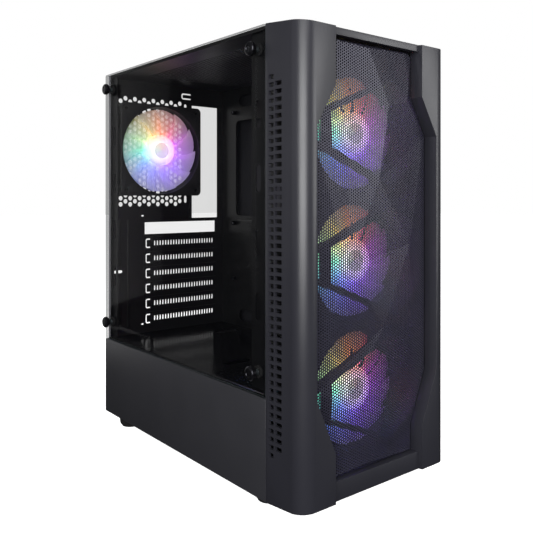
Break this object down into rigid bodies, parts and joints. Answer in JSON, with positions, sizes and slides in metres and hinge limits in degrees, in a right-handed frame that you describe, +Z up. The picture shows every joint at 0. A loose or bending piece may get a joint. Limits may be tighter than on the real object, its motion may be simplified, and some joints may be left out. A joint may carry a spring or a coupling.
{
  "type": "desktop computer tower",
  "caption": "Empty mid-tower computer case with a tinted glass side, a folded mesh front between two waisted wings, and lit fans.",
  "frame": {"origin": "middle of the whole outline on the plane of the feet, thumbscrew heads included", "axes": "+Z up, -Y towards the mesh front, -X towards the glass side"},
  "size_m": [0.2066, 0.3896, 0.4502],
  "materials": {
    "black_steel": "fine satin black powder coat",
    "panel_steel": "satin black powder coat, smooth",
    "mesh_steel": "perforated sheet, satin black coat",
    "bezel_plastic": "moulded ABS, dark grey satin",
    "black_plastic": "moulded ABS, black satin",
    "fan_plastic": "moulded fan frame, black satin",
    "lit_fan": "frosted blades lit from the hub in several colours",
    "psu_fan": "moulded black blades",
    "tinted_glass": "tempered glass, grey tint, polished edges",
    "rubber": "soft black rubber",
    "screw_metal": "knurled, black nickel",
    "psu_steel": "matt black coated steel",
    "port_metal": "stamped nickel-plated shell",
    "usb3_port": "stamped nickel-plated shell, blue tongue",
    "filter_mesh": "magnetic frame with fine nylon mesh"
  },
  "bodies": {
    "chassis": {"rear_panel": "black_steel", "rear_panel_lower": "black_steel", "motherboard_tray": "black_steel", "front_chassis_plate": "black_steel", "chassis_floor": "black_steel", "chassis_top": "panel_steel", "psu_shroud": "black_steel", "shroud_side_cover": "panel_steel", "rear_fan_frame": "fan_plastic", "io_module_housing": "black_plastic", "usb2_port_left": "port_metal", "usb2_port_right": "port_metal", "usb3_port": "usb3_port", "headphone_jack": "black_plastic", "microphone_jack": "black_plastic", "psu_case": "psu_steel", "psu_inlet": "black_plastic", "drive_cage": "black_steel", "fan_hub": "black_plastic", "ssd_bracket": "black_steel", "slot_cover_2": "black_steel", "slot_cover_3": "black_steel", "slot_cover_4": "black_steel", "slot_cover_5": "black_steel", "slot_cover_6": "black_steel", "slot_cover_7": "black_steel", "glass_standoff_front_upper": "rubber", "glass_standoff_front_lower": "rubber", "glass_standoff_rear_upper": "rubber", "glass_standoff_rear_lower": "rubber", "front_fan_frame_top": "fan_plastic", "front_fan_frame_middle": "fan_plastic", "front_fan_frame_bottom": "fan_plastic", "foot_front_left": "rubber", "foot_front_right": "rubber", "foot_rear_left": "rubber", "foot_rear_right": "rubber"},
    "glass_door": {"glass_side_panel": "tinted_glass"},
    "right_door": {"right_side_panel": "panel_steel"},
    "front_cover": {"front_bezel": "bezel_plastic", "front_mesh": "mesh_steel", "hex_support_frame": "black_plastic"},
    "rotor_rear": {"rear_fan_rotor": "lit_fan"},
    "psu_rotor": {"psu_fan_rotor": "psu_fan"},
    "top_filter": {"top_dust_filter": "filter_mesh"},
    "power_key": {"power_button": "black_plastic"},
    "reset_key": {"reset_button": "black_plastic"},
    "psu_rocker": {"psu_switch": "black_plastic"},
    "bottom_filter": {"psu_dust_filter": "filter_mesh"},
    "tray_upper": {"drive_tray_upper": "black_plastic"},
    "tray_lower": {"drive_tray_lower": "black_plastic"},
    "rotor_top": {"front_fan_rotor_top": "lit_fan"},
    "rotor_middle": {"front_fan_rotor_middle": "lit_fan"},
    "rotor_bottom": {"front_fan_rotor_bottom": "lit_fan"},
    "glass_screw_front_upper": {"glass_thumbscrew_front_upper": "screw_metal"},
    "glass_screw_front_lower": {"glass_thumbscrew_front_lower": "screw_metal"},
    "glass_screw_rear_upper": {"glass_thumbscrew_rear_upper": "screw_metal"},
    "glass_screw_rear_lower": {"glass_thumbscrew_rear_lower": "screw_metal"},
    "panel_screw_upper": {"panel_thumbscrew_upper": "screw_metal"},
    "panel_screw_lower": {"panel_thumbscrew_lower": "screw_metal"}
  },
  "joints": [
    {"name": "glass_pull", "type": "slide", "parent": "chassis", "child": "glass_door", "axis": [-1, 0, 0], "range_m": [0, 0.04]},
    {"name": "glass_screw_front_upper_turn", "type": "hinge", "parent": "glass_door", "child": "glass_screw_front_upper", "pos_m": [-0.0967, -0.1273, 0.429], "axis": [-1, 0, 0], "continuous": true},
    {"name": "glass_screw_front_lower_turn", "type": "hinge", "parent": "glass_door", "child": "glass_screw_front_lower", "pos_m": [-0.0967, -0.1273, 0.13], "axis": [-1, 0, 0], "continuous": true},
    {"name": "glass_screw_rear_upper_turn", "type": "hinge", "parent": "glass_door", "child": "glass_screw_rear_upper", "pos_m": [-0.0967, 0.1777, 0.43], "axis": [-1, 0, 0], "continuous": true},
    {"name": "glass_screw_rear_lower_turn", "type": "hinge", "parent": "glass_door", "child": "glass_screw_rear_lower", "pos_m": [-0.0967, 0.1777, 0.132], "axis": [-1, 0, 0], "continuous": true},
    {"name": "right_panel_pull", "type": "slide", "parent": "chassis", "child": "right_door", "axis": [0, 1, 0], "range_m": [0, 0.04]},
    {"name": "panel_screw_upper_turn", "type": "hinge", "parent": "right_door", "child": "panel_screw_upper", "pos_m": [0.0948, 0.1867, 0.4], "axis": [0, 1, 0], "continuous": true},
    {"name": "panel_screw_lower_turn", "type": "hinge", "parent": "right_door", "child": "panel_screw_lower", "pos_m": [0.0948, 0.1867, 0.06], "axis": [0, 1, 0], "continuous": true},
    {"name": "front_cover_pull", "type": "slide", "parent": "chassis", "child": "front_cover", "axis": [0, -1, 0], "range_m": [0, 0.04]},
    {"name": "fan_spin_top", "type": "hinge", "parent": "chassis", "child": "rotor_top", "pos_m": [0.0033, -0.1513, 0.355], "axis": [0, 1, 0], "continuous": true},
    {"name": "fan_spin_middle", "type": "hinge", "parent": "chassis", "child": "rotor_middle", "pos_m": [0.0033, -0.1513, 0.23], "axis": [0, 1, 0], "continuous": true},
    {"name": "fan_spin_bottom", "type": "hinge", "parent": "chassis", "child": "rotor_bottom", "pos_m": [0.0033, -0.1513, 0.105], "axis": [0, 1, 0], "continuous": true},
    {"name": "fan_spin_rear", "type": "hinge", "parent": "chassis", "child": "rotor_rear", "pos_m": [-0.0277, 0.1727, 0.354], "axis": [0, 1, 0], "continuous": true},
    {"name": "psu_fan_spin", "type": "hinge", "parent": "chassis", "child": "psu_rotor", "pos_m": [0.0003, 0.1117, 0.034], "axis": [0, 0, 1], "continuous": true},
    {"name": "top_filter_lift", "type": "slide", "parent": "chassis", "child": "top_filter", "axis": [0, 0, 1], "range_m": [0, 0.03]},
    {"name": "power_press", "type": "slide", "parent": "chassis", "child": "power_key", "axis": [0, 0, -1], "range_m": [0, 0.0012], "stiffness_N_per_m": 300},
    {"name": "reset_press", "type": "slide", "parent": "chassis", "child": "reset_key", "axis": [0, 0, -1], "range_m": [0, 0.0008], "stiffness_N_per_m": 200},
    {"name": "psu_rocker_tilt", "type": "hinge", "parent": "chassis", "child": "psu_rocker", "pos_m": [-0.0147, 0.1817, 0.044], "axis": [1, 0, 0], "range_deg": [-14, 0]},
    {"name": "bottom_filter_pull", "type": "slide", "parent": "chassis", "child": "bottom_filter", "axis": [0, 1, 0], "range_m": [0, 0.165]},
    {"name": "tray_upper_slide", "type": "slide", "parent": "chassis", "child": "tray_upper", "axis": [1, 0, 0], "range_m": [0, 0.013]},
    {"name": "tray_lower_slide", "type": "slide", "parent": "chassis", "child": "tray_lower", "axis": [1, 0, 0], "range_m": [0, 0.013]}
  ]
}
